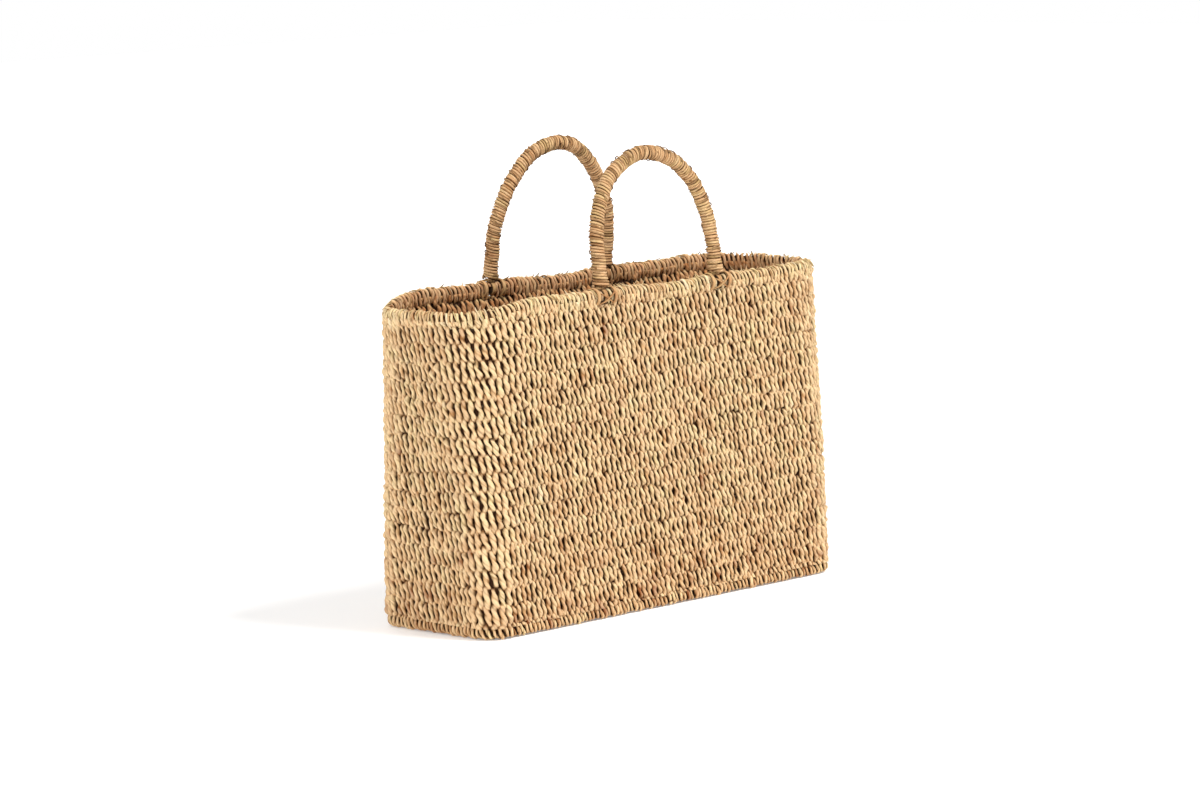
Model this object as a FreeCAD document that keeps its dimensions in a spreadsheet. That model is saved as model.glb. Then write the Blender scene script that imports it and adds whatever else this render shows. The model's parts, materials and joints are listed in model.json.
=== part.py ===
import FreeCAD, Part
import math
import os

import Sketcher

# Seagrass tote basket: a rectangular basket woven over a welded steel wire frame, with two
# upright arch handles hinged on the rim wire. Millimetres, +Z up. The origin is the centre of
# the footprint on the floor, X runs along the basket's length and the front faces -Y.

DIMENSIONS = {
    "base_length": 441,        # outside of the walls at the floor
    "base_depth": 147,
    "base_corner": 22,
    "mouth_length": 464,       # outside of the walls at the rim wire
    "mouth_depth": 151,
    "mouth_corner": 62,
    "wall_thickness": 10,
    "rim_height": 283,         # centre of the rim wire above the floor
    "base_wire_height": 5,     # centre of the base ring above the floor
    "base_thickness": 9,
    "course_count": 17,        # woven bands between the base ring and the rim wire
    "base_course_count": 9,    # woven bands across the base
    "rim_wire_radius": 2,
    "frame_wire_radius": 1.3,
    "weld_depth": 0.6,         # how far two crossing wires sink into each other
    "roll_radius": 7,          # seagrass roll bound over the rim wire
    "clearance": 0.05,
    "panel_half_length": 165,  # where the flat long walls meet the rounded ends
    "side_upright_offset": 105,
    "base_stiffener_offset": 130,
    "handle_half_span": 72,    # half the distance between a handle's feet
    "front_handle_rise": 120,  # hinge line to the top of the arch's centre line
    "back_handle_rise": 126,
    "handle_leg": 36,          # straight part of each leg above the hinge line
    "handle_shoulder": 100,    # radius of the arch's shoulders
    "handle_lean": 7,          # degrees towards the middle of the basket, at rest
    "handle_wire_radius": 2,
    "handle_padding_radius": 4.2,
    "handle_wrap_radius": 6.5,
    "handle_foot_gap": 9.5,    # hinge line to the lower end of the wrapping
    "eye_radius": 5,
    "eye_width": 5,
    "eye_gap": 0.4,            # free space round each eye in the roll
    "lashing_radius": 9,
    "lashing_width": 4,
    "lashing_offset": 9,       # from a handle's foot to each turn of its lashing
    "lashing_bridge": 1.6,     # thickness of the strands that join two turns on the wall
    "lashing_bridge_top": 5,   # below the rim wire
    "lashing_bridge_foot": 14,
}

document = FreeCAD.newDocument("SeagrassBasket")
sheet = document.addObject("Spreadsheet::Sheet", "Dimensions")
for row, (alias, number) in enumerate(DIMENSIONS.items(), start=1):
    sheet.set(f"A{row}", alias)
    sheet.set(f"B{row}", str(number))
    sheet.setAlias(f"B{row}", alias)
document.recompute()

V = FreeCAD.Vector
NODES = []


def size(name):
    """A driving dimension, as a number."""
    return float(sheet.get(name))


def keep(part_object, label):
    """Name a finished sub-part, whose label is its file's name."""
    part_object.Label = label
    NODES.append(part_object)
    return part_object


# ---------------------------------------------------------------- expressions

def at_height(base, mouth, height):
    """Expression for a size that runs straight from its value at the floor to that at the rim."""
    return f"(Dimensions.{base} + (Dimensions.{mouth} - Dimensions.{base}) * ({height}) / Dimensions.rim_height)"


def ring_sizes(height, inset):
    """Length, depth and corner radius of the wall's outline at a height, inset from its outside."""
    return {
        "length": f"{at_height('base_length', 'mouth_length', height)} - 2 * ({inset})",
        "depth": f"{at_height('base_depth', 'mouth_depth', height)} - 2 * ({inset})",
        "corner": f"{at_height('base_corner', 'mouth_corner', height)} - ({inset})",
    }


WALL_MIDDLE = "Dimensions.wall_thickness / 2"


def course_height(number):
    """Expression for the height of a course wire; 0 is the base ring and the last is the rim."""
    return ("(Dimensions.base_wire_height + (Dimensions.rim_height - Dimensions.base_wire_height)"
            f" * {number} / Dimensions.course_count)")


# ---------------------------------------------------------------- outlines and pipes

def origin_plane(body, role):
    return next(feature for feature in body.Origin.OriginFeatures if feature.Role == role)


def draw_rounded_rectangle(sketch, sizes):
    """A rounded rectangle centred on the sketch's origin, its sizes bound to expressions."""
    half_length, half_depth, corner = 200, 70, 15
    across, along = half_length - corner, half_depth - corner
    lines = [
        (V(-across, -half_depth, 0), V(across, -half_depth, 0)),
        (V(half_length, -along, 0), V(half_length, along, 0)),
        (V(across, half_depth, 0), V(-across, half_depth, 0)),
        (V(-half_length, along, 0), V(-half_length, -along, 0)),
    ]
    centres = [V(across, -along, 0), V(across, along, 0), V(-across, along, 0), V(-across, -along, 0)]
    edges = []
    for quarter in range(4):
        start = (quarter - 1) * math.pi / 2
        circle = Part.Circle(centres[quarter], V(0, 0, 1), corner)
        edges.append(sketch.addGeometry(Part.LineSegment(*lines[quarter])))
        edges.append(sketch.addGeometry(Part.ArcOfCircle(circle, start, start + math.pi / 2)))
    constraint = Sketcher.Constraint
    for index, edge in enumerate(edges):
        sketch.addConstraint(constraint("Tangent", edge, 2, edges[(index + 1) % 8], 1))
    for index in (0, 4):
        sketch.addConstraint(constraint("Horizontal", edges[index]))
        sketch.addConstraint(constraint("Vertical", edges[index + 2]))
    for index in (3, 5, 7):
        sketch.addConstraint(constraint("Equal", edges[1], edges[index]))
    sketch.addConstraint(constraint("Symmetric", edges[0], 1, edges[4], 1, -1, 1))
    driven = {
        "length": constraint("DistanceX", edges[6], 1, edges[2], 1, 2 * half_length),
        "depth": constraint("DistanceY", edges[0], 1, edges[4], 1, 2 * half_depth),
        "corner": constraint("Radius", edges[1], corner),
    }
    for name, item in driven.items():
        sketch.renameConstraint(sketch.addConstraint(item), name)
        sketch.setExpression(f"Constraints.{name}", sizes[name])


def draw_circle(sketch, radius, centre_x="0"):
    """A circle on the sketch's horizontal axis."""
    edge = sketch.addGeometry(Part.Circle(V(-60, 0, 0), V(0, 0, 1), 3))
    sketch.addConstraint(Sketcher.Constraint("PointOnObject", edge, 3, -1))
    sketch.renameConstraint(sketch.addConstraint(Sketcher.Constraint("Radius", edge, 3)), f"radius{edge}")
    sketch.setExpression(f"Constraints.radius{edge}", radius)
    sketch.renameConstraint(
        sketch.addConstraint(Sketcher.Constraint("DistanceX", edge, 3, -1, 1, 60)), f"place{edge}")
    sketch.setExpression(f"Constraints.place{edge}", centre_x)


def new_sketch(body, role, name):
    sketch = body.newObject("Sketcher::SketchObject", name)
    sketch.AttachmentSupport = [(origin_plane(body, role), "")]
    sketch.MapMode = "FlatFace"
    return sketch


def ring(name, height, radius):
    """A closed round bar that follows the middle of the wall at a height."""
    body = document.addObject("PartDesign::Body", name)
    sizes = ring_sizes(height, WALL_MIDDLE)
    path = new_sketch(body, "XY_Plane", f"{name}_path")
    draw_rounded_rectangle(path, sizes)
    section = new_sketch(body, "YZ_Plane", f"{name}_section")
    draw_circle(section, radius, f"({sizes['depth']}) / 2")
    pipe = body.newObject("PartDesign::AdditivePipe", f"{name}_pipe")
    pipe.Profile = section
    pipe.Spine = (path, [])
    body.setExpression("Placement.Base.z", height)
    return body


def rod(name, radius, start, end):
    """A round bar between two points."""
    bar = document.addObject("Part::Cylinder", name)
    bar.setExpression("Radius", radius)
    bar.Height = (end - start).Length
    bar.Placement = FreeCAD.Placement(start, FreeCAD.Rotation(V(0, 0, 1), end - start))
    return bar


def cut(name, base, tool):
    piece = document.addObject("Part::Cut", name)
    piece.Base = base
    piece.Tool = tool
    return piece


def fuse(name, pieces):
    whole = document.addObject("Part::MultiFuse", name)
    whole.Shapes = pieces
    return whole


def box(name, low, high):
    """A plain block between two corners."""
    block = document.addObject("Part::Box", name)
    block.Length, block.Width, block.Height = high - low
    block.Placement.Base = low
    return block


# ---------------------------------------------------------------- wire frame

FRAME_WIRE = "Dimensions.frame_wire_radius"
FRAME_TUNNEL = "Dimensions.frame_wire_radius + Dimensions.clearance"


def frame_rings():
    """The rim wire, the base ring and one wire per woven course. Returns their tunnels."""
    tunnels = []
    last = int(size("course_count"))
    for number in range(last):
        label = "base_ring_wire" if number == 0 else f"course_wire_{number:02d}"
        height = course_height(number)
        keep(ring(label, height, FRAME_WIRE), label)
        tunnels.append(ring(f"{label}_tunnel", height, FRAME_TUNNEL))
    keep(ring("rim_wire", "Dimensions.rim_height", "Dimensions.rim_wire_radius"), "rim_wire")
    return tunnels


def wall_point(share_x, share_y, height, inset):
    """A point on the wall's outline: on a flat side, an end or the middle of a corner."""
    part_way = height / size("rim_height")

    def blend(base, mouth):
        return size(base) + (size(mouth) - size(base)) * part_way

    half_length = blend("base_length", "mouth_length") / 2 - inset
    half_depth = blend("base_depth", "mouth_depth") / 2 - inset
    pull = (blend("base_corner", "mouth_corner") - inset) * (1 - math.sqrt(0.5))
    if share_x and share_y:
        return V(share_x * (half_length - pull), share_y * (half_depth - pull), height)
    return V(share_x * half_length, share_y * half_depth, height)


def upright(name, share_x, share_y, slide, ring_tunnels):
    """A straight upright on the inner side of the rings, notched where it is welded to them."""
    inset = size("wall_thickness") / 2 + 2 * size("frame_wire_radius") - size("weld_depth")
    low = wall_point(share_x, share_y, size("base_wire_height"), inset) + V(slide, 0, 0)
    top = size("rim_height") - size("roll_radius") - 2 * size("frame_wire_radius")
    high = wall_point(share_x, share_y, top, inset) + V(slide, 0, 0)
    blank = rod(f"{name}_blank", FRAME_WIRE, low, high)
    keep(cut(name, blank, ring_tunnels), name)
    return rod(f"{name}_tunnel", FRAME_TUNNEL, low, high)


def uprights(ring_tunnels):
    tunnels = []
    for side, share_y in (("front", -1), ("back", 1)):
        for end, share_x in (("left", -1), ("right", 1)):
            tunnels.append(upright(f"corner_post_{side}_{end}", share_x, share_y, 0, ring_tunnels))
            slide = share_x * size("side_upright_offset")
            tunnels.append(upright(f"upright_{side}_{end}", 0, share_y, slide, ring_tunnels))
    tunnels.append(upright("upright_left_end", -1, 0, 0, ring_tunnels))
    tunnels.append(upright("upright_right_end", 1, 0, 0, ring_tunnels))
    return tunnels


def base_wires():
    """Long wires in the base mat, welded to the base ring, and two stiffeners across them."""
    count = int(size("base_course_count"))
    height = size("base_wire_height")
    wire = size("frame_wire_radius")
    reach = wire + size("clearance")
    inset = size("wall_thickness") / 2
    half_depth = size("base_depth") / 2 - inset
    half_length = size("base_length") / 2 - inset
    corner = size("base_corner") - inset
    wire_tunnels = []
    for number in range(1, count):
        place = half_depth * (2 * number / count - 1)
        into_corner = max(0, abs(place) - (half_depth - corner))
        ring_end = V(half_length - corner + math.sqrt(corner ** 2 - into_corner ** 2), 0, 0)
        middle = V(0, place, height)
        name = f"base_wire_{number}"
        short = V(reach, 0, 0)
        keep(rod(name, FRAME_WIRE, middle - ring_end + short, middle + ring_end - short), name)
        wire_tunnels.append(rod(f"{name}_tunnel", FRAME_TUNNEL, middle - ring_end, middle + ring_end))
    notches = fuse("base_wire_tunnels", wire_tunnels)
    stiffener_tunnels = []
    mat_edge = V(0, half_depth - size("wall_thickness"), 0)
    for side, share in (("left", -1), ("right", 1)):
        middle = V(share * size("base_stiffener_offset"), 0, height - 2 * wire + size("weld_depth"))
        name = f"base_stiffener_{side}"
        blank = rod(f"{name}_blank", FRAME_WIRE, middle - mat_edge, middle + mat_edge)
        keep(cut(name, blank, notches), name)
        stiffener_tunnels.append(rod(f"{name}_tunnel", FRAME_TUNNEL, middle - mat_edge, middle + mat_edge))
    return notches, fuse("stiffener_tunnels", stiffener_tunnels)


# ---------------------------------------------------------------- rim and lashings

def hinge_line():
    """Distance of each handle's hinge line from the basket's middle plane."""
    return (size("mouth_depth") - size("wall_thickness")) / 2


def feet():
    """The four places where a handle meets the rim wire: name and centre of the eye."""
    for side, share_y in (("front", -1), ("back", 1)):
        for end, share_x in (("left", -1), ("right", 1)):
            yield f"{side}_{end}", V(share_x * size("handle_half_span"), share_y * hinge_line(), size("rim_height"))


def rim_binding():
    """The roll bound over the rim wire, with a pocket and a slot for each handle eye."""
    roll = cut("rim_roll", ring("rim_roll_blank", "Dimensions.rim_height", "Dimensions.roll_radius"),
               ring("rim_tunnel", "Dimensions.rim_height", "Dimensions.rim_wire_radius + Dimensions.clearance"))
    half_width = size("eye_width") / 2 + size("eye_gap")
    half_slot = size("handle_wire_radius") + size("eye_gap")
    reach = size("roll_radius")
    pockets = []
    for name, foot in feet():
        pockets.append(rod(f"eye_pocket_{name}", "Dimensions.eye_radius + Dimensions.eye_gap",
                           foot - V(half_width, 0, 0), foot + V(half_width, 0, 0)))
        pockets.append(box(f"leg_slot_{name}", foot + V(-half_slot, -reach, half_slot),
                           foot + V(half_slot, reach, reach + half_slot)))
    keep(cut("rim_binding", roll, fuse("eye_pockets", pockets)), "rim_binding")


def foot_lashings():
    """Two turns round the rim beside each foot, joined across the outside of the wall."""
    half_width = size("lashing_width") / 2
    hollows = []
    outside = size("wall_thickness") / 2 + size("clearance")
    for name, foot in feet():
        turns = []
        for beside in (-1, 1):
            middle = foot + V(beside * size("lashing_offset"), 0, 0)
            low, high = middle - V(half_width, 0, 0), middle + V(half_width, 0, 0)
            turns.append(rod(f"lashing_turn_{name}_{beside + 1}", "Dimensions.lashing_radius", low, high))
            hollows.append(rod(f"lashing_hollow_{name}_{beside + 1}",
                               "Dimensions.lashing_radius + Dimensions.clearance", low, high))
        out = math.copysign(1, foot.y)
        reach = size("lashing_offset") + half_width
        near, far = sorted((out * outside, out * (outside + size("lashing_bridge"))))
        turns.append(box(f"lashing_bridge_{name}", foot + V(-reach, near, -size("lashing_bridge_foot")),
                         foot + V(reach, far, -size("lashing_bridge_top"))))
        whole = fuse(f"lashing_blank_{name}", turns)
        bore = rod(f"lashing_bore_{name}", "Dimensions.roll_radius + Dimensions.clearance",
                   foot - V(2 * reach, 0, 0), foot + V(2 * reach, 0, 0))
        keep(cut(f"foot_lashing_{name}", whole, bore), f"foot_lashing_{name}")
    return fuse("lashing_hollows", hollows)


# ---------------------------------------------------------------- woven seagrass

def wall_block(name, height, inset):
    """Rounded rectangle on the floor or at the rim, for a loft."""
    sketch = document.addObject("Sketcher::SketchObject", name)
    draw_rounded_rectangle(sketch, ring_sizes(height, inset))
    sketch.setExpression("Placement.Base.z", height)
    return sketch


def solid_between(name, inset):
    loft = document.addObject("Part::Loft", name)
    loft.Sections = [wall_block(f"{name}_foot", "0", inset),
                     wall_block(f"{name}_mouth", "Dimensions.rim_height", inset)]
    loft.Solid = True
    loft.Ruled = True
    return loft


def carve(name, blank, hollows):
    """Cut each group of hollows from a blank in turn."""
    for number, hollow in enumerate(hollows):
        blank = cut(f"{name}_{number}", blank, hollow)
    return blank


def woven_walls(hollows):
    """The woven sheet round the basket, in four stretches that meet where the ends start to curve."""
    wall = cut("wall_sheet", solid_between("wall_outside", "0"),
               solid_between("wall_inside", "Dimensions.wall_thickness"))
    split = size("panel_half_length")
    seam = size("clearance") / 2
    far_x, far_y, top = size("mouth_length"), size("mouth_depth"), size("rim_height")
    foot = size("base_thickness") + size("clearance")
    blocks = {
        "woven_front": (V(-split + seam, -far_y, foot), V(split - seam, 0, top)),
        "woven_back": (V(-split + seam, 0, foot), V(split - seam, far_y, top)),
        "woven_left_end": (V(-far_x, -far_y, foot), V(-split - seam, far_y, top)),
        "woven_right_end": (V(split + seam, -far_y, foot), V(far_x, far_y, top)),
    }
    for name, (low, high) in blocks.items():
        stretch = document.addObject("Part::Common", f"{name}_stretch")
        stretch.Base = wall
        stretch.Tool = box(f"{name}_block", low, high)
        keep(carve(f"{name}_carved", stretch, hollows), name)


def woven_base(hollows):
    """The woven mat that closes the bottom, with the walls standing on its edge."""
    body = document.addObject("PartDesign::Body", "base_mat")
    outline = new_sketch(body, "XY_Plane", "base_outline")
    draw_rounded_rectangle(outline, ring_sizes("0", "0"))
    mat = body.newObject("PartDesign::Pad", "base_pad")
    mat.Profile = outline
    mat.setExpression("Length", "Dimensions.base_thickness")
    keep(carve("carved_base", body, hollows), "woven_base")


# ---------------------------------------------------------------- handles

def draw_arch(sketch, leg_start, height):
    """Arch from foot to foot: straight legs, wide shoulders and a rounder crown, all tangent."""
    span, rise = size("handle_half_span"), size(height)
    leg, shoulder = size("handle_leg"), size("handle_shoulder")
    inward = shoulder - span
    drop = shoulder - (rise - leg)
    crown = shoulder - (inward ** 2 + drop ** 2) / (2 * drop)
    meet = math.acos(inward / (shoulder - crown))
    up = V(0, 0, 1)
    low = leg / 4
    edges = [
        sketch.addGeometry(Part.LineSegment(V(span, low, 0), V(span, leg, 0))),
        sketch.addGeometry(Part.ArcOfCircle(Part.Circle(V(-inward, leg, 0), up, shoulder), 0, meet)),
        sketch.addGeometry(Part.ArcOfCircle(
            Part.Circle(V(0, rise - crown, 0), up, crown), meet, math.pi - meet)),
        sketch.addGeometry(Part.ArcOfCircle(
            Part.Circle(V(inward, leg, 0), up, shoulder), math.pi - meet, math.pi)),
        sketch.addGeometry(Part.LineSegment(V(-span, leg, 0), V(-span, low, 0))),
    ]
    right_leg, right_shoulder, top, left_shoulder, left_leg = edges
    crest = sketch.addGeometry(Part.Point(V(0, rise, 0)), True)
    constraint = Sketcher.Constraint
    for edge, following in zip(edges, edges[1:]):
        sketch.addConstraint(constraint("Tangent", edge, 2, following, 1))
    sketch.addConstraint(constraint("Vertical", right_leg))
    sketch.addConstraint(constraint("Symmetric", right_leg, 1, left_leg, 2, -2))
    sketch.addConstraint(constraint("Symmetric", right_leg, 2, left_leg, 1, -2))
    sketch.addConstraint(constraint("Equal", right_shoulder, left_shoulder))
    sketch.addConstraint(constraint("PointOnObject", crest, 1, -2))
    sketch.addConstraint(constraint("PointOnObject", crest, 1, top))
    driven = {
        "half_span": (constraint("DistanceX", -1, 1, right_leg, 1, span), "Dimensions.handle_half_span"),
        "leg_start": (constraint("DistanceY", -1, 1, right_leg, 1, low), leg_start),
        "leg": (constraint("DistanceY", -1, 1, right_leg, 2, leg), "Dimensions.handle_leg"),
        "shoulder": (constraint("Radius", right_shoulder, shoulder), "Dimensions.handle_shoulder"),
        "rise": (constraint("DistanceY", -1, 1, crest, 1, rise), f"Dimensions.{height}"),
    }
    for name, (item, expression) in driven.items():
        sketch.renameConstraint(sketch.addConstraint(item), name)
        sketch.setExpression(f"Constraints.{name}", expression)


def arch(name, leg_start, height, radii):
    """A round bar or a hollow tube bent into a handle's arch, upright over its hinge line."""
    body = document.addObject("PartDesign::Body", name)
    path = new_sketch(body, "XZ_Plane", f"{name}_path")
    draw_arch(path, leg_start, height)
    section = new_sketch(body, "XY_Plane", f"{name}_section")
    for radius in radii:
        draw_circle(section, radius, "Dimensions.handle_half_span")
    section.setExpression("AttachmentOffset.Base.z", leg_start)
    pipe = body.newObject("PartDesign::AdditivePipe", f"{name}_pipe")
    pipe.Profile = section
    pipe.Spine = (path, [])
    return body


def add_eyes(body, name):
    """Close each end of a handle wire into an eye that turns on the rim wire."""
    for end, share in (("left", -1), ("right", 1)):
        outline = new_sketch(body, "YZ_Plane", f"{name}_{end}_eye_outline")
        draw_circle(outline, "Dimensions.eye_radius")
        draw_circle(outline, "Dimensions.rim_wire_radius + Dimensions.clearance")
        outline.setExpression("AttachmentOffset.Base.z", f"{share} * Dimensions.handle_half_span")
        eye = body.newObject("PartDesign::Pad", f"{name}_{end}_eye")
        eye.Profile = outline
        eye.Midplane = True
        eye.setExpression("Length", "Dimensions.eye_width")


def handle(side, share):
    """One handle: core wire with its eyes, seagrass padding and the wrapping over it."""
    gap = "Dimensions.clearance"
    height = f"{side}_handle_rise"
    padding_start = "Dimensions.handle_foot_gap"
    wire_start = "(Dimensions.rim_wire_radius + Dimensions.eye_radius) / 2"
    wire = arch(f"{side}_handle_wire", wire_start, height, ["Dimensions.handle_wire_radius"])
    add_eyes(wire, f"{side}_handle_wire")
    padding = arch(f"{side}_handle_padding", padding_start, height,
                   [f"Dimensions.handle_wire_radius + {gap}", "Dimensions.handle_padding_radius"])
    wrapping = arch(f"{side}_handle_wrap", padding_start, height,
                    [f"Dimensions.handle_padding_radius + {gap}", "Dimensions.handle_wrap_radius"])
    lean = FreeCAD.Rotation(V(1, 0, 0), share * size("handle_lean"))
    place = FreeCAD.Placement(V(0, share * hinge_line(), size("rim_height")), lean)
    for piece, label in ((wire, "wire"), (padding, "padding"), (wrapping, "wrap")):
        piece.Placement = place
        keep(piece, f"{side}_handle_{label}")


# ---------------------------------------------------------------- assembly

def check_and_write():
    """Stop on any failed object or bad shape, then write one STEP file per sub-part."""
    document.recompute()
    for item in document.Objects:
        if "Invalid" in item.State or "Error" in item.State:
            raise RuntimeError(f"{item.Name} did not compute: {item.State}")
    for piece in NODES:
        if piece.Shape.isNull() or not piece.Shape.isValid():
            raise RuntimeError(f"{piece.Label} has no valid shape")
    os.makedirs("parts", exist_ok=True)
    for piece in NODES:
        piece.Shape.exportStep(os.path.join("parts", f"{piece.Label}.step"))


ring_tunnels = fuse("ring_tunnels", frame_rings())
upright_tunnels = fuse("upright_tunnels", uprights(ring_tunnels))
base_wire_tunnels, stiffener_tunnels = base_wires()
rim_binding()
roll_hollow = ring("roll_hollow", "Dimensions.rim_height", "Dimensions.roll_radius + Dimensions.clearance")
woven_walls([foot_lashings(), roll_hollow, ring_tunnels, upright_tunnels])
woven_base([ring_tunnels, upright_tunnels, base_wire_tunnels, stiffener_tunnels])
handle("front", -1)
handle("back", 1)
check_and_write()
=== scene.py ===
import json
import math

import bpy
import numpy as np
from mathutils import Matrix, Vector


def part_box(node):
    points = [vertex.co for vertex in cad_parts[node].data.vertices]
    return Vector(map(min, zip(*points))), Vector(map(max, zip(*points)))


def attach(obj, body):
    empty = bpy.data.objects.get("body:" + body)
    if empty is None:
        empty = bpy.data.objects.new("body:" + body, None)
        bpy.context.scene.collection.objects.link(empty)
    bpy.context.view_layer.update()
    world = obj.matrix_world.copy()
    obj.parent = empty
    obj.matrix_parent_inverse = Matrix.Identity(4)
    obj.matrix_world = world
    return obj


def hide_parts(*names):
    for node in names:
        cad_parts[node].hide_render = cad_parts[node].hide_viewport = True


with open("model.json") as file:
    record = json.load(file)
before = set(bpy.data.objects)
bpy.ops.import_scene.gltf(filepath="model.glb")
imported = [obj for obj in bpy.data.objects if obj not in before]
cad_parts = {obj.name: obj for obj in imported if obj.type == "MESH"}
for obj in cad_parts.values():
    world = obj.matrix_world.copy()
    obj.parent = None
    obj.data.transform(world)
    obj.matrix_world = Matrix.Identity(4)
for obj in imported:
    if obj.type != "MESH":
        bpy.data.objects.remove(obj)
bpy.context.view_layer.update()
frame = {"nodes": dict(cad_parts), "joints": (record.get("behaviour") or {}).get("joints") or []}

# A seagrass tote basket. Every strand is real geometry: twined columns round the hidden course
# wires, wraps over the rim wire and the base ring, and fine wrapping round both handles.
# Metres, in the CAD frame: X along the basket's length, -Y is its front, Z up.

MM = 0.001
rng = np.random.default_rng(7)

# ------------------------------------------------------------------ sizes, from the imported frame

rim_low, rim_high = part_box("rim_wire")
base_low, base_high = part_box("base_ring_wire")
JOINTS = {joint["name"]: joint for joint in frame["joints"]}

RIM_WIRE_RADIUS = (rim_high.z - rim_low.z) / 2
BASE_WIRE_RADIUS = (base_high.z - base_low.z) / 2
RIM_Z = (rim_high.z + rim_low.z) / 2
BASE_Z = (base_high.z + base_low.z) / 2
RIM_HALF = (rim_high.x - RIM_WIRE_RADIUS, rim_high.y - RIM_WIRE_RADIUS)
BASE_HALF = (base_high.x - BASE_WIRE_RADIUS, base_high.y - BASE_WIRE_RADIUS)
RIM_CORNER = 57 * MM          # corner radius of the wall's middle at the rim
BASE_CORNER = 17 * MM         # and at the base
COURSES = sum(name.startswith("course_wire") for name in frame["nodes"]) + 1
COURSE_PITCH = (RIM_Z - BASE_Z) / COURSES

COLUMN_PITCH = 5.86 * MM      # one twined pair of strands
STRAND_TWIST = 1 / (19 * MM)  # turns of a strand's two plies per metre
PLY_DEPTH = 0.55              # how deep the groove between two plies is, as a share of the strand
PLY_EVEN = 0.6                # from groove 0 to crest 1: where a strand has its given thickness

HANDLE_LEG = 36 * MM          # straight part of a handle above its hinge
HANDLE_SHOULDER = 100 * MM    # radius of the arch between a leg and the crown
HANDLE_LEAN = math.radians(7)  # towards the other handle, at rest
GRIP_RADIUS = 6.5 * MM
wrap_low, wrap_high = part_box("front_handle_wrap")
HALF_SPAN = (wrap_high.x - wrap_low.x) / 2 - GRIP_RADIUS
EYE_HALF_WIDTH = 2.5 * MM

ALONG_X = np.array([1.0, 0.0, 0.0])
UP = np.array([0.0, 0.0, 1.0])


# ------------------------------------------------------------------ small numeric helpers

def smoothstep(value, low, high):
    share = np.clip((value - low) / (high - low), 0, 1)
    return share * share * (3 - 2 * share)


def uneven(strands, knots, steps, spread):
    """Smooth random values for each strand: knots random values, sampled at steps places."""
    values = rng.normal(0, spread, (strands, knots))
    place = np.linspace(0, knots - 1, steps)
    low = np.minimum(place.astype(int), knots - 2)
    share = smoothstep(place - low, 0, 1)
    return values[:, low] * (1 - share) + values[:, low + 1] * share


# ------------------------------------------------------------------ mesh helpers

def make_mesh(name, points, quads, caps, values, grain):
    """A smooth mesh from arrays, with the per-point values that its straw material reads."""
    mesh = bpy.data.meshes.new(name)
    mesh.vertices.add(len(points))
    mesh.vertices.foreach_set("co", points.astype(np.float32).ravel())
    corners = np.concatenate([quads.ravel(), caps.ravel()])
    side_starts = np.arange(len(quads)) * 4
    cap_starts = quads.size + np.arange(len(caps)) * caps.shape[1]
    starts = np.concatenate([side_starts, cap_starts])
    mesh.loops.add(len(corners))
    mesh.loops.foreach_set("vertex_index", corners.astype(np.int32))
    mesh.polygons.add(len(starts))
    mesh.polygons.foreach_set("loop_start", starts.astype(np.int32))
    mesh.update(calc_edges=True)
    mesh.polygons.foreach_set("use_smooth", np.ones(len(starts), bool))
    for key, numbers in values.items():
        layer = mesh.attributes.new(key, "FLOAT", "POINT")
        layer.data.foreach_set("value", numbers.astype(np.float32).ravel())
    layer = mesh.attributes.new("grain", "FLOAT_VECTOR", "POINT")
    layer.data.foreach_set("vector", grain.astype(np.float32).ravel())
    mesh.update()
    piece = bpy.data.objects.new(name, mesh)
    bpy.context.scene.collection.objects.link(piece)
    return piece


GRAIN_LENGTH = 6 * MM         # one unit of the fibre pattern along a strand
TWIST_SPREAD = 40             # how far a strand's tint shifts the start of its twist
GRAIN_SPREAD = 500            # and of its fibre pattern
DEEP, SHALLOW = 2.0 * MM, 4.3 * MM          # from the middle of the weave: painted shade at full, and gone
CREST_LOW, CREST_HIGH = 3.6 * MM, 5.0 * MM  # and where the painted sunlit highlight on the crests comes in
LIFT_OUT, LIFT_IN = 1.1 * MM, -1.8 * MM     # added to that distance where two strands cross
INNER_LOW, INNER_HIGH = -0.5 * MM, 2 * MM   # how far behind the middle counts as facing inwards, painted in red-brown shade


def strand_faces(strands, steps, segments, closed):
    """Sides and end caps of strands whose points are in the order strand, step, segment."""
    index = np.arange(strands * steps * segments).reshape(strands, steps, segments)
    around = np.roll(index, -1, axis=2)
    if closed:
        quads = np.stack([index, around, np.roll(around, -1, 1), np.roll(index, -1, 1)], axis=-1)
        caps = np.zeros((0, segments), int)
    else:
        quads = np.stack([index[:, :-1], around[:, :-1], around[:, 1:], index[:, 1:]], axis=-1)
        caps = np.concatenate([index[:, 0, ::-1], index[:, -1]])
    return quads.reshape(-1, 4), caps


def strand_values(strand, outward, ply, relief):
    """What the straw material reads at each point of a strand's surface: its tint, where it is painted in
    shade, and where it gets a painted highlight.
    """
    everywhere = 0 * outward
    crossing = strand.get("crossing", 0 * strand["half_side"])[..., None]
    lift = crossing * np.where(outward >= 0, LIFT_OUT, LIFT_IN)
    distance = strand["core"][..., None] + relief * outward + lift
    inner = strand.get("inner", smoothstep(-strand["core"], INNER_LOW, INNER_HIGH))
    return {
        "tint": strand["tint"][..., None] + everywhere,
        "depth": 1 - smoothstep(np.abs(distance), DEEP, SHALLOW),
        "inner": inner[..., None] + everywhere,
        "crest": smoothstep(distance, CREST_LOW, CREST_HIGH),
        "groove": 1 - ply,
    }


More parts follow.
